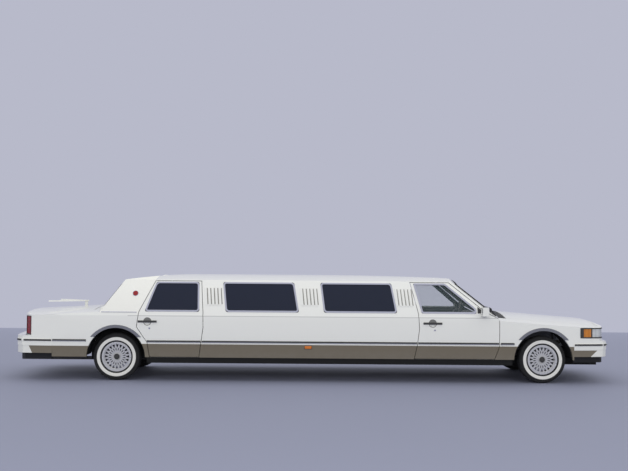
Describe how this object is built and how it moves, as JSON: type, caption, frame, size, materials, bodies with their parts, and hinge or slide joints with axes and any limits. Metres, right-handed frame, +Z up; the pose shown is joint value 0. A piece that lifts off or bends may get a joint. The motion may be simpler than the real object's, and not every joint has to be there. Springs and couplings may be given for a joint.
{
  "type": "stretched luxury sedan",
  "caption": "White stretched luxury sedan with a padded rear roof, dark side windows, opening doors, hood and trunk, steered front wheels and lattice wheels with white-banded tyres.",
  "frame": {"origin": "on the ground, midway along and across the car", "axes": "+X forward, +Y to the car's left, +Z up"},
  "size_m": [8.6078, 2.214, 1.5],
  "materials": {
    "paint": "gloss white",
    "bumper": "gloss white with a taupe lower band",
    "vinyl": "padded cream vinyl",
    "chrome": "polished",
    "alloy": "machined alloy",
    "tinted_glass": "dark tint",
    "clear_glass": "light tint",
    "lamp_lens": "clear and amber lens",
    "red_lens": "red lens",
    "black_plastic": "black moulding",
    "leather": "soft grey leather",
    "chassis": "black underseal",
    "iron": "cast",
    "steel": "dull steel",
    "aerial": "white",
    "tyre": "white side band"
  },
  "bodies": {
    "root": {"frame_rails": "chassis", "floor_pan": "chassis", "roof_panel": "paint", "landau_top": "vinyl", "side_panels": "paint", "side_glass": "tinted_glass", "quarter_panels": "paint", "front_fenders": "paint", "nose_panel": "paint", "grille": "chrome", "front_bumper": "bumper", "rear_bumper": "bumper", "head_lamps": "lamp_lens", "tail_lamps": "red_lens", "windshield": "clear_glass", "rear_window": "tinted_glass", "cowl": "black_plastic", "dashboard": "black_plastic", "steering_wheel": "black_plastic", "front_seats": "leather", "lounge_seats": "leather", "partition": "black_plastic", "engine": "iron", "driveline": "iron", "exhaust": "steel", "suspension_arms": "chassis", "wheel_liners": "black_plastic", "arch_lips": "chrome"},
    "front_door_left": {"front_door_left": "paint", "front_door_glass_left": "clear_glass"},
    "front_door_right": {"front_door_right": "paint", "front_door_glass_right": "clear_glass"},
    "rear_door_left": {"rear_door_left": "paint", "rear_door_glass_left": "tinted_glass"},
    "rear_door_right": {"rear_door_right": "paint", "rear_door_glass_right": "tinted_glass"},
    "hood": {"hood": "paint"},
    "trunk_lid": {"trunk_lid": "paint", "antenna": "aerial"},
    "knuckle_left": {"knuckle_left": "iron"},
    "knuckle_right": {"knuckle_right": "iron"},
    "wheel_front_left": {"rim_front_left": "alloy", "tyre_front_left": "tyre"},
    "wheel_front_right": {"rim_front_right": "alloy", "tyre_front_right": "tyre"},
    "wheel_rear_left": {"rim_rear_left": "alloy", "tyre_rear_left": "tyre"},
    "wheel_rear_right": {"rim_rear_right": "alloy", "tyre_rear_right": "tyre"}
  },
  "joints": [
    {"name": "front_left_roll", "type": "hinge", "parent": "knuckle_left", "child": "wheel_front_left", "pos_m": [3.265, 0.8, 0.332], "axis": [0, 1, 0], "continuous": true},
    {"name": "front_right_roll", "type": "hinge", "parent": "knuckle_right", "child": "wheel_front_right", "pos_m": [3.265, -0.8, 0.332], "axis": [0, 1, 0], "continuous": true},
    {"name": "rear_left_roll", "type": "hinge", "parent": "root", "child": "wheel_rear_left", "pos_m": [-2.765, 0.8, 0.332], "axis": [0, 1, 0], "continuous": true},
    {"name": "rear_right_roll", "type": "hinge", "parent": "root", "child": "wheel_rear_right", "pos_m": [-2.765, -0.8, 0.332], "axis": [0, 1, 0], "continuous": true},
    {"name": "steer_left", "type": "hinge", "parent": "root", "child": "knuckle_left", "pos_m": [3.265, 0.7, 0.332], "axis": [0, 0, 1], "range_deg": [-32, 32]},
    {"name": "front_door_left_hinge", "type": "hinge", "parent": "root", "child": "front_door_left", "pos_m": [2.575, 0.956, 0.74], "axis": [0, 0, -1], "range_deg": [0, 65]},
    {"name": "rear_door_left_hinge", "type": "hinge", "parent": "root", "child": "rear_door_left", "pos_m": [-1.603, 0.956, 0.74], "axis": [0, 0, -1], "range_deg": [0, 65]},
    {"name": "steer_right", "type": "hinge", "parent": "root", "child": "knuckle_right", "pos_m": [3.265, -0.7, 0.332], "axis": [0, 0, 1], "range_deg": [-32, 32]},
    {"name": "front_door_right_hinge", "type": "hinge", "parent": "root", "child": "front_door_right", "pos_m": [2.575, -0.956, 0.74], "axis": [0, 0, 1], "range_deg": [0, 65]},
    {"name": "rear_door_right_hinge", "type": "hinge", "parent": "root", "child": "rear_door_right", "pos_m": [-1.603, -0.956, 0.74], "axis": [0, 0, 1], "range_deg": [0, 65]},
    {"name": "hood_hinge", "type": "hinge", "parent": "root", "child": "hood", "pos_m": [2.815, 0, 0.93816], "axis": [0, -1, 0], "range_deg": [0, 50]},
    {"name": "trunk_hinge", "type": "hinge", "parent": "root", "child": "trunk_lid", "pos_m": [-3.165, 0, 0.9967], "axis": [0, 1, 0], "range_deg": [0, 70]}
  ],
  "couplings": [
    {"joint": "steer_right", "follows": "steer_left", "ratio": 1}
  ]
}
